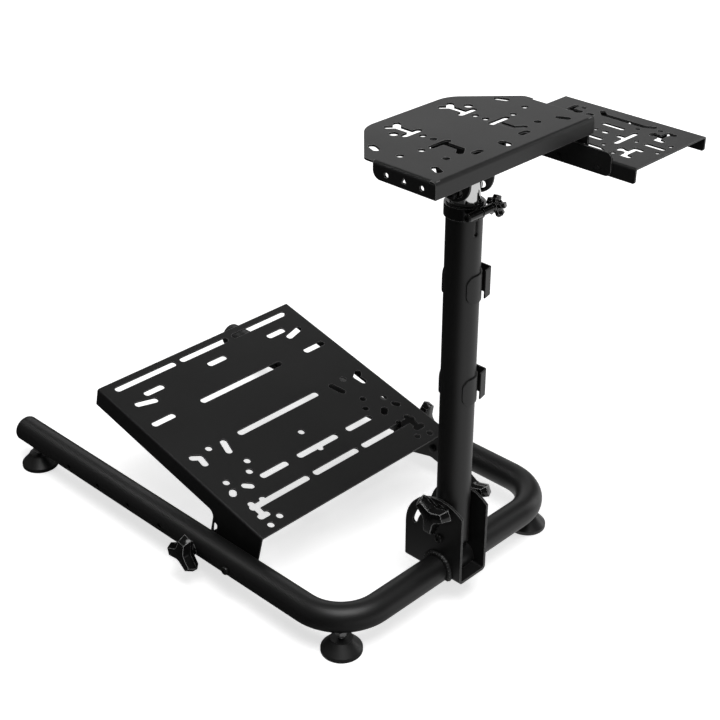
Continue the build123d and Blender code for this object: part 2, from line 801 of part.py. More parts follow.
# Shifter bracket: a leg bolted inside the right fold, and a long strip welded to its foot
with BuildPart() as shifter_bracket:
    with BuildSketch(across(strip_outer)):
        with Locations((leg_front, strip_bottom + strip_height / 2)):
            Rectangle(
                strip_back - leg_front,
                wheel_under - leg_top_gap - strip_bottom - strip_height / 2,
                align=Align.MIN,
            )
    extrude(amount=strip_sheet)
    # The leg stops above the shifter plate, which lies against the strip's outer side
    with BuildSketch(across(strip_outer)):
        with Locations((leg_front, shifter_top + sliding_gap)):
            Rectangle(strip_back - leg_front, strip_height, align=(Align.MIN, Align.MAX))
    extrude(amount=strip_sheet, mode=Mode.SUBTRACT)
    with BuildSketch(across(strip_inner)) as strip_outline:
        with Locations((strip_front, strip_bottom)):
            Rectangle(strip_back - strip_front, strip_height, align=Align.MIN)
        fillet(strip_outline.vertices().sort_by(Axis.X)[:2], radius=strip_corner)
    extrude(amount=strip_sheet)
    with BuildSketch(across(strip_inner)):
        with Locations((side_hole_middle, side_hole_z)):
            with GridLocations(side_hole_pitch, 0, 2, 1):
                Circle(small_bolt_r + fixed_gap)
        with Locations((shifter_bolt_front + shifter_bolt_pitch / 2, shifter_bolt_z)):
            with GridLocations(shifter_bolt_pitch, 0, 2, 1):
                Circle(small_bolt_r + fixed_gap)
    extrude(amount=2 * strip_sheet, mode=Mode.SUBTRACT)
write(shifter_bracket, "shifter_bracket")


def bolt_pair(middle_y, pitch, bolt_z, inner_x, outer_x):
    """Two small bolts in a row along Y, heads outside and nuts inside."""
    with BuildPart() as bolts:
        with BuildSketch(across(inner_x)):
            with Locations((middle_y, bolt_z)):
                with GridLocations(pitch, 0, 2, 1):
                    Circle(small_bolt_r)
        extrude(amount=outer_x - inner_x)
        with BuildSketch(across(outer_x)):
            with Locations((middle_y, bolt_z)):
                with GridLocations(pitch, 0, 2, 1):
                    Circle(small_head_d / 2)
        extrude(amount=small_head_height)
        fillet(bolts.edges().filter_by(GeomType.CIRCLE).group_by(Axis.X)[-1], radius=head_edge)
        with BuildSketch(across(inner_x)):
            with Locations((middle_y, bolt_z)):
                with GridLocations(pitch, 0, 2, 1):
                    RegularPolygon(small_head_d / 2, 6)
        extrude(amount=-small_head_height)
    return bolts


shifter_bracket_bolts = bolt_pair(side_hole_middle, side_hole_pitch, side_hole_z, strip_outer, wheel_half)
write(shifter_bracket_bolts, "shifter_bracket_bolts")
shifter_plate_bolts = bolt_pair(
    shifter_bolt_front + shifter_bolt_pitch / 2,
    shifter_bolt_pitch,
    shifter_bolt_z,
    strip_inner,
    strip_outer + shifter_sheet,
)
write(shifter_plate_bolts, "shifter_plate_bolts")

# Shifter plate: a shallow channel, its left fold bolted to the strip
with BuildPart() as shifter_plate:
    with BuildSketch(Plane.XZ.offset(-shifter_front - shifter_length)):
        with BuildLine():
            FilletPolyline(
                (strip_outer, strip_bottom),
                (strip_outer, shifter_top),
                (strip_outer + shifter_width, shifter_top),
                (strip_outer + shifter_width, strip_bottom),
                radius=shifter_bend,
            )
            offset(amount=shifter_sheet, side=Side.RIGHT)
        make_face()
    extrude(amount=shifter_length)
    lower_edges = shifter_plate.edges().filter_by(Axis.X).group_by(Axis.Z)[0]
    fillet(lower_edges, radius=shifter_bend)
    with BuildSketch(across(strip_outer)):
        with Locations((shifter_bolt_front + shifter_bolt_pitch / 2, shifter_bolt_z)):
            with GridLocations(shifter_bolt_pitch, 0, 2, 1):
                Circle(small_bolt_r + fixed_gap)
    extrude(amount=shifter_width, mode=Mode.SUBTRACT)
    with BuildSketch(Plane(origin=(shifter_x, shifter_front, shifter_top - shifter_sheet))):
        with Locations(*shifter_holes):
            Circle(shifter_hole_d / 2)
        for start, end in shifter_slots:
            slot_between(start, end, shifter_slot_w)
        mirror(about=Plane.YZ)
        with Locations(*shifter_middle_holes):
            Circle(shifter_hole_d / 2)
        for start, end in shifter_middle_slots:
            slot_between(start, end, shifter_slot_w)
    extrude(amount=shifter_sheet, mode=Mode.SUBTRACT)
write(shifter_plate, "shifter_plate")

# Pedal plate, drawn in the plate's own frame: X across, Y up its slope from the pivots, Z off it
slope = (0, cos(radians(pedal_tilt)), sin(radians(pedal_tilt)))
off_slope = (0, -sin(radians(pedal_tilt)), cos(radians(pedal_tilt)))
pedal_pivot = Vector(0, rail_hole_first, axis_height)
pedal_back = pedal_length - pedal_front
pedal_level = Plane(origin=pedal_pivot, x_dir=(1, 0, 0), z_dir=off_slope)
pedal_side = Plane(origin=pedal_pivot, x_dir=slope, z_dir=(1, 0, 0)).offset(-pedal_half)
pedal_end = Plane(
    origin=pedal_level.from_local_coords((0, pedal_back, 0)),
    x_dir=(1, 0, 0),
    z_dir=(0, -slope[1], -slope[2]),
)
pedal_top = Plane(
    origin=pedal_level.from_local_coords((0, -pedal_front, pedal_rise)),
    x_dir=(1, 0, 0),
    z_dir=off_slope,
)
pedal_path = CenterArc((0, 0), pedal_lock_reach, -pedal_steepest, pedal_steepest)
flange_w = pedal_rise - pedal_flange
with BuildPart() as pedal_plate:
    with BuildSketch(pedal_end):
        with BuildLine():
            FilletPolyline(
                (-pedal_half, -ear_drop),
                (-pedal_half, pedal_rise),
                (pedal_half, pedal_rise),
                (pedal_half, -ear_drop),
                radius=pedal_bend,
            )
            offset(amount=pedal_sheet, side=Side.RIGHT)
        make_face()
    extrude(amount=pedal_length)
    # Both folds are deep at the ears, with rounded corners, and shallow behind them
    with BuildSketch(pedal_side):
        with BuildLine():
            FilletPolyline(
                (-pedal_front - pedal_bend, -ear_front_drop),
                (0, -ear_front_drop),
                (ear_ramp_end, -ear_drop),
                (ear_back, -ear_drop),
                (ear_back, flange_w),
                (pedal_back + pedal_bend, flange_w),
                radius=ear_corner,
            )
            Polyline(
                (pedal_back + pedal_bend, flange_w),
                (pedal_back + pedal_bend, -ear_drop - pedal_bend),
                (-pedal_front - pedal_bend, -ear_drop - pedal_bend),
                (-pedal_front - pedal_bend, -ear_front_drop),
            )
        make_face()
    extrude(amount=pedal_width, mode=Mode.SUBTRACT)
    # Pivot holes and arc slots in both ears
    with BuildSketch(pedal_side):
        Circle(bolt_r + running_gap)
        SlotArc(pedal_path, height=lock_slot_w)
    extrude(amount=pedal_width, mode=Mode.SUBTRACT)
    # Fixing slots and holes for the pedals
    with BuildSketch(pedal_top):
        with Locations(*pedal_holes):
            Circle(pedal_hole_d / 2)
        for start, end in pedal_slots:
            slot_between(start, end, pedal_slot_w)
        mirror(about=Plane.YZ)
        with Locations(*pedal_row_holes):
            Circle(pedal_hole_d / 2)
        for start, end in pedal_middle_slots:
            slot_between(start, end, pedal_slot_w)
    extrude(amount=-pedal_sheet, mode=Mode.SUBTRACT)
write(pedal_plate, "pedal_plate")

# Pedal plate's pivots and clamps: bolts through the rails, with star knobs on the front clamps
ear_grip = rail_outer - ear_inner + sliding_gap
grip_middle = (rail_outer + ear_inner - sliding_gap) / 2
lock_hole_y = rail_hole_first + pedal_lock_reach
for side, name in ((-1, "left"), (1, "right")):
    pivot_plane = Plane(
        origin=(side * grip_middle, rail_hole_first, axis_height), x_dir=(0, 1, 0), z_dir=(side, 0, 0)
    )
    pedal_pivot_bolt = cross_bolt(pivot_plane, bolt_d, ear_grip, head_d, head_height)
    write(pedal_pivot_bolt, "pedal_pivot_bolt_" + name)

    rail_seat = Plane(
        origin=(side * (rail_outer + sliding_gap), lock_hole_y, axis_height),
        x_dir=(0, 1, 0),
        z_dir=(side, 0, 0),
    )
    with BuildPart() as pedal_clamp_bolt:
        with BuildSketch(rail_seat.offset(knob_bore)):
            Circle(bolt_r)
        extrude(amount=-(knob_bore + ear_grip + sliding_gap))
        with BuildSketch(rail_seat.offset(-ear_grip - sliding_gap)):
            Circle(head_d / 2)
        extrude(amount=-head_height)
    write(pedal_clamp_bolt, "pedal_clamp_bolt_" + name)

    knob_turn = side * pedal_knob_turn
    pedal_knob = star_knob(rail_seat, knob_turn, large_star, knob_height, knob_stem, knob_stem_d, bolt_d)
    write(pedal_knob, "pedal_knob_" + name)
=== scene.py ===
import math

import bpy
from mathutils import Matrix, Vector


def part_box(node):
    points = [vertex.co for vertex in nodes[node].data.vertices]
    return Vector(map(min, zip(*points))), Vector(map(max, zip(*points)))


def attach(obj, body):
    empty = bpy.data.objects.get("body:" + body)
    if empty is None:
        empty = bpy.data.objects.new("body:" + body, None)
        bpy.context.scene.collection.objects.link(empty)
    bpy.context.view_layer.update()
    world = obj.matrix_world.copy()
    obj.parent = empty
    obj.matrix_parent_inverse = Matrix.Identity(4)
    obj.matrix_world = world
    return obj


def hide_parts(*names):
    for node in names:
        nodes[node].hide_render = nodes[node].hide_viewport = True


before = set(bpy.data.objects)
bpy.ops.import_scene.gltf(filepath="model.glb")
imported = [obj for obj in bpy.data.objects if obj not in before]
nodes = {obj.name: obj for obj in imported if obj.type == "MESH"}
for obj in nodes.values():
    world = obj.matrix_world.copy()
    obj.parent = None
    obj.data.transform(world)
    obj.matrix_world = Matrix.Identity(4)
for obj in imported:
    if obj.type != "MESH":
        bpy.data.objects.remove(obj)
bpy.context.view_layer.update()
MM = 0.001

# The stand is described in its own millimetres: X = 0 is the middle of the base, Y = 0 the cross
# tube's axis and Z = 0 the floor. The base tube's packed box tells how far the row frame is shifted.
tube_r = 22.5
tube_low, tube_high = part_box("base_tube")
row_shift_x = -(tube_low[0] + tube_high[0]) / 2 / MM
row_shift_y = -(tube_low[1] / MM + tube_r)


def row_point(x, y, z):
    """A point of the stand in the row frame's metres."""
    return Vector(((x - row_shift_x) * MM, (y - row_shift_y) * MM, z * MM))


# The studio: a camera at the product picture's angle over a white floor. A wide white screen behind
# the stand gives its level plates their sheen, a tall box on the right the column's bright side, a
# thin strip high behind the rims, and a big box overhead the plain light.
scene = bpy.context.scene
camera_place = (-1373.5, -1142.7, 1425.0)
degrees_down = 29.664
degrees_right = 45.763
camera_data = bpy.data.cameras.new("camera")
camera_data.lens = 72.54
camera_data.sensor_width = 36.0
camera_data.clip_end = 50.0
camera = bpy.data.objects.new("camera", camera_data)
camera.location = row_point(*camera_place)
camera.rotation_euler = (math.radians(90 - degrees_down), 0, math.radians(-degrees_right))
scene.collection.objects.link(camera)
scene.camera = camera
scene.view_settings.view_transform = "Standard"


def soft_box(name, watts, width, height, place, target):
    """A rectangular studio light at a place, turned to face the target, all in metres."""
    data = bpy.data.lights.new(name, "AREA")
    data.shape = "RECTANGLE"
    data.energy = watts
    data.size = width
    data.size_y = height
    lamp = bpy.data.objects.new(name, data)
    lamp.location = place
    lamp.rotation_euler = (Vector(target) - Vector(place)).to_track_quat("-Z", "Y").to_euler()
    scene.collection.objects.link(lamp)


soft_box("back_screen", watts=22, width=4.2, height=1.5, place=(2.9, 2.9, 2.0), target=(0, 0, 0.6))
soft_box("right_box", watts=14, width=0.8, height=2.2, place=(2.6, -1.2, 1.1), target=(0, -0.2, 0.4))
soft_box("top_box", watts=82, width=2.0, height=2.0, place=(-0.6, -1.1, 3.2), target=(0, 0, 0.3))
soft_box("strip_box", watts=9, width=1.4, height=0.4, place=(-0.9, 2.3, 2.6), target=(0, 0, 0.3))


class Value:
    """A shader socket that Python's own operators turn into maths nodes."""

    def __init__(self, paint, socket):
        self.paint = paint
        self.socket = socket

    def maths(self, operation, first, second):
        settings = {"operation": operation}
        return self.paint.node("ShaderNodeMath", settings, {0: first, 1: second}).out("Value")

    def __add__(self, other):
        return self.maths("ADD", self, other)

    def __radd__(self, other):
        return self.maths("ADD", other, self)

    def __sub__(self, other):
        return self.maths("SUBTRACT", self, other)

    def __rsub__(self, other):
        return self.maths("SUBTRACT", other, self)

    def __mul__(self, other):
        return self.maths("MULTIPLY", self, other)

    def __rmul__(self, other):
        return self.maths("MULTIPLY", other, self)


class Made:
    """A node in a paint, whose outputs are asked for by name or number."""

    def __init__(self, paint, shader_node):
        self.paint = paint
        self.shader_node = shader_node

    def out(self, key):
        return Value(self.paint, self.shader_node.outputs[key])


class Paint:
    """The nodes of one finish, or of the world."""

    def __init__(self, owner):
        owner.use_nodes = True
        self.owner = owner
        self.tree = owner.node_tree

    def node(self, kind, settings, sockets):
        """A new node of a kind, with its settings made before its sockets are filled."""
        shader_node = self.tree.nodes.new(kind)
        for key, value in settings.items():
            setattr(shader_node, key, value)
        return self.fill(shader_node, sockets)

    def given(self, name, sockets):
        """A node that the tree starts with, with its sockets filled."""
        return self.fill(self.tree.nodes[name], sockets)

    def fill(self, shader_node, sockets):
        """Link or set a node's sockets, by name or number."""
        for key, value in sockets.items():
            if isinstance(value, Value):
                self.tree.links.new(value.socket, shader_node.inputs[key])
            else:
                shader_node.inputs[key].default_value = value
        return Made(self, shader_node)


def grey(level):
    """An opaque grey."""
    return (level, level, level, 1)


# The camera sees plain white all round, and the stand gets only a weak even fill from it.
world = bpy.data.worlds.new("studio")
scene.world = world
sky = Paint(world)
sky_fill = sky.given("Background", {"Color": grey(1), "Strength": 0.08})
sky_white = sky.node("ShaderNodeBackground", {}, {"Color": grey(1)})
sky_seen = sky.node("ShaderNodeLightPath", {}, {}).out("Is Camera Ray")
sky_mix = sky.node("ShaderNodeMixShader", {}, {0: sky_seen, 1: sky_fill.out(0), 2: sky_white.out(0)})
sky.given("World Output", {"Surface": sky_mix.out(0)})


# The studio floor: white paper for the camera. In reflections it is a painted reflection instead: dark
# grey, with a glow that is white on the stand's right and falls off to the left.
def finish(name):
    """A new material's paint, with the place on the piece that its patterns follow."""
    paint = Paint(bpy.data.materials.new(name))
    paint.place = paint.node("ShaderNodeTexCoord", {}, {}).out("Object")
    return paint


def mixed(paint, share, first, second):
    """Two colours mixed by a share. A Mix node's colours are its sockets 6 and 7, and come out at 2."""
    sockets = {"Factor": share, 6: first, 7: second}
    return paint.node("ShaderNodeMix", {"data_type": "RGBA"}, sockets).out(2)


def ramp(paint, value, start, end, low, high, curve="SMOOTHSTEP"):
    """A value that goes from low to high while another goes from start to end."""
    return paint.node(
        "ShaderNodeMapRange",
        {"clamp": True, "interpolation_type": curve},
        {"Value": value, "From Min": start, "From Max": end, "To Min": low, "To Max": high},
    ).out("Result")


floor_width = 16
bpy.ops.object.select_all(action="DESELECT")
bpy.ops.mesh.primitive_plane_add(size=floor_width, location=(0, 0, 0))
floor = bpy.context.object
floor.name = "studio_floor"
floor_paint = finish("studio_floor")
light_path = floor_paint.node("ShaderNodeLightPath", {}, {})
seen = light_path.out("Is Camera Ray")
mirrored = light_path.out("Is Glossy Ray")
floor_place = floor_paint.node("ShaderNodeSeparateXYZ", {}, {0: floor_paint.place})
to_the_right = floor_place.out("X") * 0.7 - floor_place.out("Y") * 0.71
painted_reflection_falloff = ramp(floor_paint, to_the_right, start=-0.12, end=0.5, low=0.02, high=0.85)
reach = floor_paint.node("ShaderNodeVectorMath", {"operation": "LENGTH"}, {0: floor_paint.place})
glow = ramp(floor_paint, reach.out("Value"), start=0.8, end=2.2, low=0.66, high=1.05)
# Painted reflection: to glossy rays the floor is dark grey and glows white only towards the stand's
# right.
floor_paint.given(
    "Principled BSDF",
    {
        "Base Color": mixed(floor_paint, mirrored, grey(0.82), grey(0.02)),
        "Roughness": 1.0,
        "Specular IOR Level": 0.0,
        "Emission Color": seen * glow + mirrored * painted_reflection_falloff,
        "Emission Strength": 1.0,
    },
)
floor.data.materials.append(floor_paint.owner)


# Base tube: 45 mm steel tube bent to a U and powder coated in satin black, like every welded and
# folded piece of the stand. The coat is baked on over the bare metal, so it has a faint orange-peel
# skin, and a painted highlight lightens its colour along the cut edges of the sheet.
def noise(paint, scale, detail=3.0, roughness=0.5):
    """A cloudy pattern over the piece, its scale in clouds to the metre."""
    return paint.node(
        "ShaderNodeTexNoise",
        {"noise_dimensions": "3D"},
        {"Vector": paint.place, "Scale": scale, "Detail": detail, "Roughness": roughness},
    ).out("Fac")


def clouded(paint, cloud, level, spread):
    """A grey level that a cloudy pattern darkens and lightens by a share of itself."""
    return mixed(paint, cloud, grey(level * (1 - spread)), grey(level * (1 + spread)))


def rounded_normal(paint, radius):
    """The piece's normal as it would be with its edges rounded by so many millimetres."""
    return paint.node("ShaderNodeBevel", {"samples": 6}, {"Radius": radius * MM}).out("Normal")


def edge_highlight_mask(paint, rounded, turned):
    """0 on flats, rising to 1 where the rounding turns the normal to the given cosine."""
    hardly_turned = 0.998
    flat = paint.node("ShaderNodeNewGeometry", {}, {}).out("Normal")
    lean = paint.node("ShaderNodeVectorMath", {"operation": "DOT_PRODUCT"}, {0: rounded, 1: flat})
    return ramp(paint, lean.out("Value"), hardly_turned, turned, low=0.0, high=1.0, curve="LINEAR")


def bumped(paint, height, strength, depth, rounded=None):
    """A fine relief so many millimetres deep, laid over the rounded normal where one is given."""
    sockets = {"Strength": strength, "Distance": depth * MM, "Height": height}
    if rounded is not None:
        sockets["Normal"] = rounded
    return paint.node("ShaderNodeBump", {}, sockets).out("Normal")


def surfaced(paint, colour, roughness, normal, metal=0.0):
    """Give a finish its colour, roughness, relief and share of metal."""
    sockets = {"Base Color": colour, "Roughness": roughness, "Metallic": metal, "Normal": normal}
    paint.given("Principled BSDF", sockets)
    return paint.owner


def powder_coat(name, level, roughness, edge_highlight_level, edge_width):
    """Black powder coat: orange-peel skin, a slow drift of gloss and, unless its level is 0, a thin
    painted highlight line on cut edges."""
    paint = finish(name)
    drift = noise(paint, scale=9.0)
    skin = noise(paint, scale=620.0, detail=2.0)
    grain = noise(paint, scale=2600.0, detail=1.0)
    colour = clouded(paint, drift, level, spread=0.14)
    rounded = rounded_normal(paint, edge_width)
    if edge_highlight_level:
        edges = edge_highlight_mask(paint, rounded, turned=0.88)
        # Painted highlight: the colour is lightened along cut edges, where the rounded normal turns.
        colour = mixed(paint, edges * 0.8, colour, grey(edge_highlight_level))
    peel = bumped(paint, skin * 0.7 + grain * 0.3, strength=0.35, depth=0.05, rounded=rounded)
    return surfaced(paint, colour, roughness + drift * 0.08 + skin * 0.04, peel)


def dress(names, material):
    """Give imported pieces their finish."""
    for name in names:
        nodes[name].data.materials.clear()
        nodes[name].data.materials.append(material)


# The tubes show no cut edge, and their normals are smoothed over a wide stretch for an even sheen.
coat = powder_coat("satin_powder_coat", 0.005, 0.38, edge_highlight_level=0.22, edge_width=1.1)
tube_coat = powder_coat("satin_tube_coat", 0.005, 0.38, edge_highlight_level=0, edge_width=6.0)
dress(("base_tube",), tube_coat)


# Column bracket: a U bent from 4 mm steel plate, with an arc slot in each side for the clamp stud.
# It straddles the cross tube, and a bead laid in overlapping ripples round each side welds it on
# before both are coated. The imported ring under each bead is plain, and the bead covers it.
def fit(piece, name, body, slot_name, material, *replaced):
    """Name a finished piece, give it its finish and let it ride on its body."""
    piece.name = name
    piece.data.name = name
    piece.data.materials.clear()
    piece.data.materials.append(material)
    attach(piece, body)
    if replaced:
        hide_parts(*replaced)


def settle(piece, sharp_angle=35):
    """Bake a piece's place into its mesh and smooth all but its sharp edges."""
    bpy.ops.object.select_all(action="DESELECT")
    piece.select_set(True)
    bpy.context.view_layer.objects.active = piece
    bpy.ops.object.transform_apply(location=True, rotation=True, scale=True)
    bpy.ops.object.shade_smooth_by_angle(angle=math.radians(sharp_angle))


dress(("column_bracket",), coat)
bracket_outer = 29.9
bracket_bottom = 48.5
axis_height = 61.0
weld_steps = 120
weld_sides = 14
weld_bead_r = 5.0
weld_off_bracket = 1.2
weld_off_tube = 1.4
weld_above_bottom = 1.0
ripple_steps = 4
ripple_dip = 0.55
for side, name in ((-1, "bracket_weld_left"), (1, "bracket_weld_right")):
    bpy.ops.object.select_all(action="DESELECT")
    bpy.ops.mesh.primitive_torus_add(
        location=row_point(side * (bracket_outer + weld_off_bracket), 0, axis_height),
        rotation=(0, math.radians(90), 0),
        major_segments=weld_steps,
        minor_segments=weld_sides,
        major_radius=(tube_r + weld_off_tube) * MM,
        minor_radius=weld_bead_r * MM,
    )
    weld = bpy.context.object
    bpy.ops.object.mode_set(mode="EDIT")
    bpy.ops.mesh.select_all(action="DESELECT")
    bpy.ops.object.mode_set(mode="OBJECT")
    for vertex in weld.data.vertices:
        step = round(math.atan2(vertex.co.y, vertex.co.x) / math.tau * weld_steps)
        vertex.select = step % ripple_steps == 0
    bpy.ops.object.mode_set(mode="EDIT")
    bpy.ops.transform.shrink_fatten(value=-ripple_dip * MM)
    bpy.ops.mesh.select_all(action="SELECT")
    bpy.ops.mesh.bisect(
        plane_co=row_point(0, 0, bracket_bottom + weld_above_bottom),
        plane_no=(0, 0, -1),
        clear_outer=True,
        use_fill=True,
    )
    bpy.ops.object.mode_set(mode="OBJECT")
    settle(weld, sharp_angle=60)
    fit(weld, name, "base", "black_steel", coat)


# Rail caps and cable clips: black nylon mouldings with a fine spark texture from the tool, a little
# duller than the powder coat. The guide sleeve is nylon too, polished by the tube that slides in it.
def nylon(name, level, roughness):
    """Black nylon with a fine sparkling grain and a slow clouding."""
    paint = finish(name)
    spark = noise(paint, scale=1500.0, roughness=0.6)
    cloud = noise(paint, scale=25.0)
    grain = bumped(paint, spark, strength=0.5, depth=0.06, rounded=rounded_normal(paint, 0.8))
    colour = clouded(paint, cloud, level, spread=0.15)
    return surfaced(paint, colour, roughness + spark * 0.12, grain)


clip_nylon = nylon("spark_textured_nylon", level=0.009, roughness=0.42)
dress(("rail_cap_left", "rail_cap_right", "cable_clip_upper", "cable_clip_lower"), clip_nylon)
dress(("guide_sleeve",), nylon("smooth_nylon", level=0.006, roughness=0.16))


# Levelling feet: moulded rubber pads with a soft sheen, dusty in the pores, on zinc-plated studs
# with a rolled thread and a chamfered lock nut against the tube.
def rubber(name):
    """Black rubber with open pores and a film of dust."""
    paint = finish(name)
    pores = noise(paint, scale=900.0, detail=4.0, roughness=0.7)
    dust = noise(paint, scale=60.0)
    colour = mixed(paint, dust, grey(0.006), grey(0.011))
    relief = bumped(paint, pores, strength=0.4, depth=0.06)
    return surfaced(paint, colour, 0.36 + dust * 0.14, relief)


def plated(name, level, roughness, mark_scale):
    """Bright plated steel with fine marks in its gloss and a slow clouding."""
    paint = finish(name)
    marks = noise(paint, mark_scale, detail=4.0, roughness=0.7)
    cloud = noise(paint, scale=70.0)
    colour = mixed(paint, cloud, grey(level * 0.92), grey(level))
    relief = bumped(paint, marks, strength=0.15, depth=0.02)
    return surfaced(paint, colour, roughness + marks * 0.08, relief, metal=1.0)


def lathe(profile, sides):
    """A round closed piece on Z, drawn up through its steps of radius and height in millimetres."""
    radius, height = profile[0]
    bpy.ops.object.select_all(action="DESELECT")
    bpy.ops.mesh.primitive_circle_add(
        vertices=sides, radius=radius * MM, fill_type="NGON", location=(0, 0, height * MM)
    )
    piece = bpy.context.object
    bpy.ops.object.transform_apply(location=True)
    bpy.ops.object.mode_set(mode="EDIT")
    bpy.ops.mesh.select_all(action="SELECT")
    for next_radius, next_height in profile[1:]:
        bpy.ops.mesh.extrude_region_move(
            TRANSFORM_OT_translate={"value": (0, 0, (next_height - height) * MM)}
        )
        scale = next_radius / radius
        bpy.ops.transform.resize(value=(scale, scale, 1), center_override=(0, 0, next_height * MM))
        radius = next_radius
        height = next_height
    bpy.ops.mesh.select_all(action="SELECT")
    bpy.ops.mesh.normals_make_consistent(inside=False)
    bpy.ops.object.mode_set(mode="OBJECT")
    return piece


def combine(piece, other, operation):
    """Join another closed piece to this one, cut it away, or keep what both share."""
    bpy.ops.object.select_all(action="DESELECT")
    piece.select_set(True)
    bpy.context.view_layer.objects.active = piece
    modifier = piece.modifiers.new("combine", "BOOLEAN")
    modifier.operation = operation
    modifier.solver = "EXACT"
    modifier.object = other
    bpy.ops.object.modifier_apply(modifier=modifier.name)
    bpy.data.objects.remove(other)


def thread(radius, pitch, depth, low, high):
    """Lathe steps of a rolled thread, crest to root, between two heights."""
    turns = int((high - low) / pitch)
    steps = []
    for turn in range(turns):
        steps.append((radius, low + turn * pitch))
        steps.append((radius - depth, low + (turn + 0.5) * pitch))
    steps.append((radius, low + turns * pitch))
    return steps


def hex_prism(across_flats, low, high, chamfer):
    """A hexagon block on Z with its corners turned back at both ends, as a nut blank has."""
    corner = across_flats / math.sqrt(3)
    clear = corner + 0.2
    bpy.ops.object.select_all(action="DESELECT")
    bpy.ops.mesh.primitive_cylinder_add(
        vertices=6, radius=corner * MM, depth=(high - low) * MM, location=(0, 0, (low + high) / 2 * MM)
    )
    block = bpy.context.object
    bpy.ops.object.transform_apply(location=True)
    turned = lathe(
        (
            (across_flats / 2, low),
            (clear, low + chamfer),
            (clear, high - chamfer),
            (across_flats / 2, high),
        ),
        sides=48,
    )
    combine(block, turned, "INTERSECT")
    return block


def copied(piece):
    """Another of the same piece, with its own mesh."""
    twin = piece.copy()
    twin.data = piece.data.copy()
    scene.collection.objects.link(twin)
    return twin


zinc = plated("zinc_plate", level=0.5, roughness=0.24, mark_scale=1200.0)
stud_r = 5.0
stud_bottom = 10.0
stud_top = 46.0
tube_underside = axis_height - tube_r
foot_nut_across = 17.0
foot_nut_height = 7.0
stud_model = lathe(
    [(4.0, stud_bottom), (stud_r, stud_bottom + 1)]
    + thread(stud_r, pitch=1.5, depth=0.8, low=stud_bottom + 2, high=stud_top - 1)
    + [(4.2, stud_top)],
    sides=32,
)
foot_nut = hex_prism(foot_nut_across, tube_underside - foot_nut_height, tube_underside, chamfer=1.2)
combine(stud_model, foot_nut, "UNION")
rail_x = 238
bend_r = 75
rear_foot_y = 748
foot_corner = rail_x - bend_r * (1 - math.sqrt(0.5))
foot_places = {
    "front_left": (-foot_corner, rail_x - foot_corner),
    "front_right": (foot_corner, rail_x - foot_corner),
    "rear_left": (-rail_x, rear_foot_y),
    "rear_right": (rail_x, rear_foot_y),
}
dress(["foot_pad_" + foot for foot in foot_places], rubber("moulded_rubber"))
for foot, (foot_x, foot_y) in foot_places.items():
    stud = copied(stud_model)
    stud.location = row_point(foot_x, foot_y, 0)
    settle(stud)
    fit(stud, "levelling_stud_" + foot, "base", "bright_steel", zinc, "foot_stud_" + foot)
bpy.data.objects.remove(stud_model)


# Bolts: black oxide socket screws with low round heads and locking nuts, glossier than the coat
# around them. The first is the column's pivot, through both sides of the bracket.
def black_oxide(name):
    """Steel blackened in a bath, half metal to the eye, with a fine tooth."""
    paint = finish(name)
    cloud = noise(paint, scale=180.0)
    colour = mixed(paint, cloud, grey(0.012), grey(0.022))
    relief = bumped(paint, noise(paint, scale=1400.0), strength=0.3, depth=0.03)
    return surfaced(paint, colour, 0.26 + cloud * 0.14, relief, metal=0.6)


bolt_black = black_oxide("black_oxide")
dress([name for name in nodes if "bolt" in name], bolt_black)


def socket_screw(shank_r, head_r, head_height, socket_across, grip, has_nut=True):
    """A screw on Z, with a hexagon socket in its head on top of the grip and, where it has one, its
    locking nut under Z = 0."""
    tip = -0.9 * head_height if has_nut else 0.0
    tip_chamfer = 0.6
    dome = ((1, 0), (1, 0.35), (0.94, 0.68), (0.80, 0.9), (0.62, 1))
    screw = lathe(
        [(shank_r - tip_chamfer, tip), (shank_r, tip + tip_chamfer)]
        + thread(shank_r, pitch=1.0, depth=0.5, low=tip + 1.0, high=tip + 0.35 * grip)
        + [(shank_r, grip)]
        + [(width * head_r, grip + rise * head_height) for width, rise in dome],
        sides=48,
    )
    bpy.ops.object.select_all(action="DESELECT")
    bpy.ops.mesh.primitive_cylinder_add(
        vertices=6,
        radius=socket_across / math.sqrt(3) * MM,
        depth=1.4 * head_height * MM,
        location=(0, 0, (grip + 1.05 * head_height) * MM),
    )
    combine(screw, bpy.context.object, "DIFFERENCE")
    if has_nut:
        nut_across = 2 * head_r * math.cos(math.pi / 6)
        combine(screw, hex_prism(nut_across, -0.7 * head_height, 0, chamfer=0.6), "UNION")
        lock_ring = ((0.62, 1), (0.76, 0.9), (0.76, 0.6))
        ring = lathe([(width * head_r, -drop * head_height) for width, drop in lock_ring], sides=48)
        combine(screw, ring, "UNION")
    return screw


def stand_up(piece, foot, top):
    """Turn a piece that was made on Z so that it runs from one point of the stand to another."""
    start = row_point(*foot)
    piece.location = start
    piece.rotation_euler = (row_point(*top) - start).to_track_quat("Z", "Y").to_euler()
    settle(piece)


def screw_in(screw, nut_end, head_end, name, body, bolt):
    """Put a screw where its packed bolt is, and let it stand for the bolt."""
    stand_up(screw, nut_end, head_end)
    fit(screw, name, body, "black_bolt", bolt_black, bolt)


large_screw = {"shank_r": 4.0, "head_r": 7.0, "head_height": 5.0, "socket_across": 5.0}
small_screw = {"shank_r": 3.0, "head_r": 5.5, "head_height": 3.0, "socket_across": 4.0}
pivot_z = 115.0
screw_in(
    socket_screw(**large_screw, grip=2 * bracket_outer),
    (bracket_outer, 0, pivot_z),
    (-bracket_outer, 0, pivot_z),
    "column_pivot_screw",
    "base",
    "column_pivot_bolt",
)


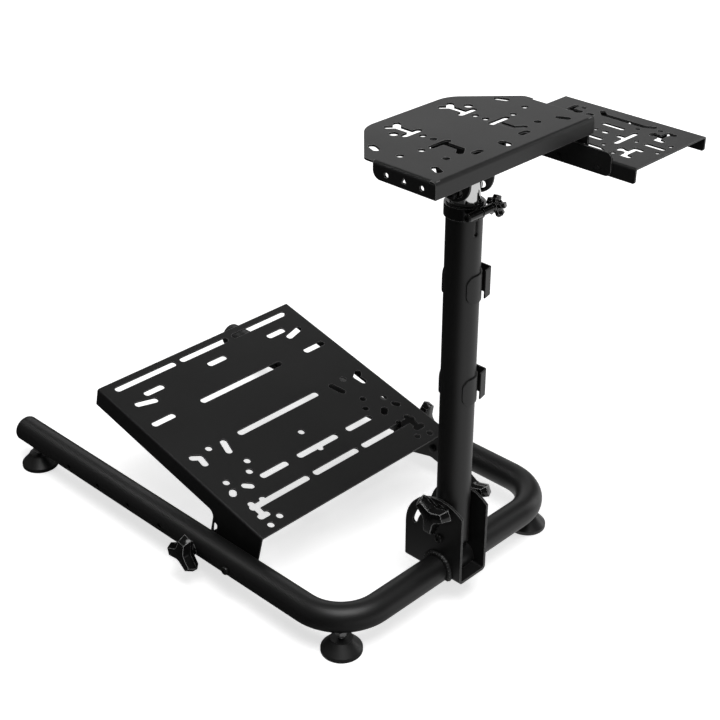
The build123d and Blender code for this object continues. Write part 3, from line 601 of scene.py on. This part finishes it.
# Star knobs: three-armed handles moulded in glossy black plastic, their edges just broken by the
# tool, on the stud that clamps the column in the bracket's arc slots.
def gloss_plastic(name):
    """Polished black plastic, with a painted highlight lightening its colour along its broken edges."""
    paint = finish(name)
    cloud = noise(paint, scale=40.0)
    rounded = rounded_normal(paint, 1.7)
    edges = edge_highlight_mask(paint, rounded, turned=0.955)
    body = mixed(paint, cloud, grey(0.002), grey(0.004))
    # Painted highlight: the broken edges are coloured light grey.
    colour = mixed(paint, edges * 0.85, body, grey(0.42))
    relief = bumped(paint, noise(paint, scale=300.0), strength=0.08, depth=0.05, rounded=rounded)
    return surfaced(paint, colour, 0.12 + cloud * 0.06, relief)


def softened(node, edge, steps=2):
    """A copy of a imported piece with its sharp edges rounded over."""
    same_point = 0.002
    flat_angle = 1.0
    sharp_angle = 28
    piece = bpy.data.objects.new(node, nodes[node].data.copy())
    scene.collection.objects.link(piece)
    bpy.ops.object.select_all(action="DESELECT")
    piece.select_set(True)
    bpy.context.view_layer.objects.active = piece
    bpy.ops.object.mode_set(mode="EDIT")
    bpy.ops.mesh.select_all(action="SELECT")
    bpy.ops.mesh.remove_doubles(threshold=same_point * MM)
    bpy.ops.mesh.dissolve_limited(angle_limit=math.radians(flat_angle))
    bpy.ops.object.mode_set(mode="OBJECT")
    bevel = piece.modifiers.new("edges", "BEVEL")
    bevel.width = edge * MM
    bevel.segments = steps
    bevel.limit_method = "ANGLE"
    bevel.angle_limit = math.radians(sharp_angle)
    bpy.ops.object.modifier_apply(modifier=bevel.name)
    settle(piece)
    return piece


knob_gloss = gloss_plastic("gloss_moulded_plastic")
knob_edge = 0.35
for side in ("left", "right"):
    knob = softened("column_knob_" + side, knob_edge)
    fit(knob, "column_star_knob_" + side, "column", "gloss_knob", knob_gloss, "column_knob_" + side)

# Column: 50.8 mm steel tube, slit at its top so that the collar can close it, and powder coated on
# its own before it is bolted into the bracket.
dress(("column_tube",), tube_coat)

# Clamp collar: a split ring with two lugs, cast in steel and coated. A socket screw through the lugs
# is drawn up by a small five-armed knob, which is moulded in the same plastic as the others.
collar_coat = powder_coat("gloss_powder_coat", 0.003, 0.12, edge_highlight_level=0.25, edge_width=0.9)
dress(("clamp_collar",), collar_coat)
lug_y = -31.0
lug_left = -30.0
lug_z = 648.0
collar_grip = 58.0
screw_in(
    socket_screw(**small_screw, grip=collar_grip, has_nut=False),
    (lug_left + collar_grip, lug_y, lug_z),
    (lug_left, lug_y, lug_z),
    "collar_screw",
    "column",
    "collar_bolt",
)
small_knob = softened("collar_knob", edge=0.3)
fit(small_knob, "collar_star_knob", "column", "gloss_knob", knob_gloss, "collar_knob")

# Inner tube: drawn steel tube under hard chrome, polished along its length and a little cloudy from
# handling. It slides in the nylon sleeve, and the collar holds it.
dress(("inner_tube",), plated("hard_chrome", level=0.7, roughness=0.06, mark_scale=500.0))


# Tilt bracket: a U bent from 3 mm sheet and stitch welded under the wheel plate. It hangs on a pivot
# screw and a clamp screw through the inner tube, both with locking nuts.
def bead(seam_x, seam_front, seam_z, radius, name):
    """A stitch of weld on the head that runs back along its seam, in ripples like the bracket's."""
    ripples = thread(radius, pitch=1.6, depth=0.15 * radius, low=0.8, high=stitch_length - 0.8)
    stitch = lathe([(0.4 * radius, 0)] + ripples + [(0.4 * radius, stitch_length)], sides=16)
    stand_up(stitch, (seam_x, seam_front, seam_z), (seam_x, seam_front + stitch_length, seam_z))
    fit(stitch, name, "head", "black_steel", coat)


dress(("tilt_bracket",), coat)
stitch_length = 26.0
web_half = 45.0
web_end = 3
tilt_seam_x = 23.9
tilt_seam_z = 747.7
tilt_stitches = {"front": web_end - web_half, "back": web_half - web_end - stitch_length}
for side, side_name in ((-1, "left"), (1, "right")):
    for end_name, stitch_front in tilt_stitches.items():
        bead(side * tilt_seam_x, stitch_front, tilt_seam_z, 2.2, f"tilt_weld_{side_name}_{end_name}")
tilt_outer = 25.3
tilt_screw = socket_screw(**large_screw, grip=2 * tilt_outer)
for height, name in ((689.5, "tilt_pivot"), (671.0, "tilt_clamp")):
    nut_end = (tilt_outer, 0, height)
    head_end = (-tilt_outer, 0, height)
    screw_in(copied(tilt_screw), nut_end, head_end, name + "_screw", "mast", name + "_bolt")
bpy.data.objects.remove(tilt_screw)

# Wheel plate: 3 mm steel sheet, laser cut with the holes of many wheel bases, folded down at its
# front and sides, and coated after the tilt bracket is welded on.
dress(("wheel_plate",), coat)

# Shifter bracket: a leg of 3 mm sheet, stitch welded behind the top edge of a long strip. Small
# socket screws hold the leg inside the wheel plate's fold and the shifter plate against the strip.
dress(("shifter_bracket",), coat)
strip_seam_x = 152.3
strip_seam_z = 712.6
for stitch_front, end_name in ((-79.0, "front"), (-14.0, "back")):
    bead(strip_seam_x, stitch_front, strip_seam_z, 1.9, "shifter_weld_" + end_name)
shifter_screw_runs = {
    "shifter_bracket_bolts": (153.0, 159.0, (-64.0, -5.0), 738.6),
    "shifter_plate_bolts": (150.0, 155.5, (-103.0, -37.0), 685.0),
}
for bolts, (inner_x, outer_x, rows, height) in shifter_screw_runs.items():
    plate_screw = socket_screw(**small_screw, grip=outer_x - inner_x)
    for row_y, end_name in zip(rows, ("front", "back")):
        nut_end = (inner_x, row_y, height)
        head_end = (outer_x, row_y, height)
        name = bolts.replace("bolts", "screw_") + end_name
        screw_in(copied(plate_screw), nut_end, head_end, name, "head", bolts)
    bpy.data.objects.remove(plate_screw)

# Shifter plate: a shallow channel of 2.5 mm steel sheet, laser cut with slots for shifters and a
# handbrake, and coated like the rest.
dress(("shifter_plate",), coat)

# Pedal plate: 2.5 mm steel sheet with its sides folded down into slotted ears, laser cut with long
# slots for pedal units, and coated like the rest.
dress(("pedal_plate",), coat)

# Pedal plate's pivots and clamps: a socket screw through each rail carries the ear, and a star knob
# outside the rail tightens the clamp bolt in the ear's arc slot.
rail_outer = 260.5
nut_seat = 210.2
rail_hole_first = 225.0
pedal_screw = socket_screw(**large_screw, grip=rail_outer - nut_seat)
for side, name in ((-1, "left"), (1, "right")):
    nut_end = (side * nut_seat, rail_hole_first, axis_height)
    head_end = (side * rail_outer, rail_hole_first, axis_height)
    bolt = "pedal_pivot_bolt_" + name
    screw_in(copied(pedal_screw), nut_end, head_end, "pedal_pivot_screw_" + name, "base", bolt)
    knob = softened("pedal_knob_" + name, knob_edge)
    fit(knob, "pedal_star_knob_" + name, "base", "gloss_knob", knob_gloss, "pedal_knob_" + name)
bpy.data.objects.remove(pedal_screw)
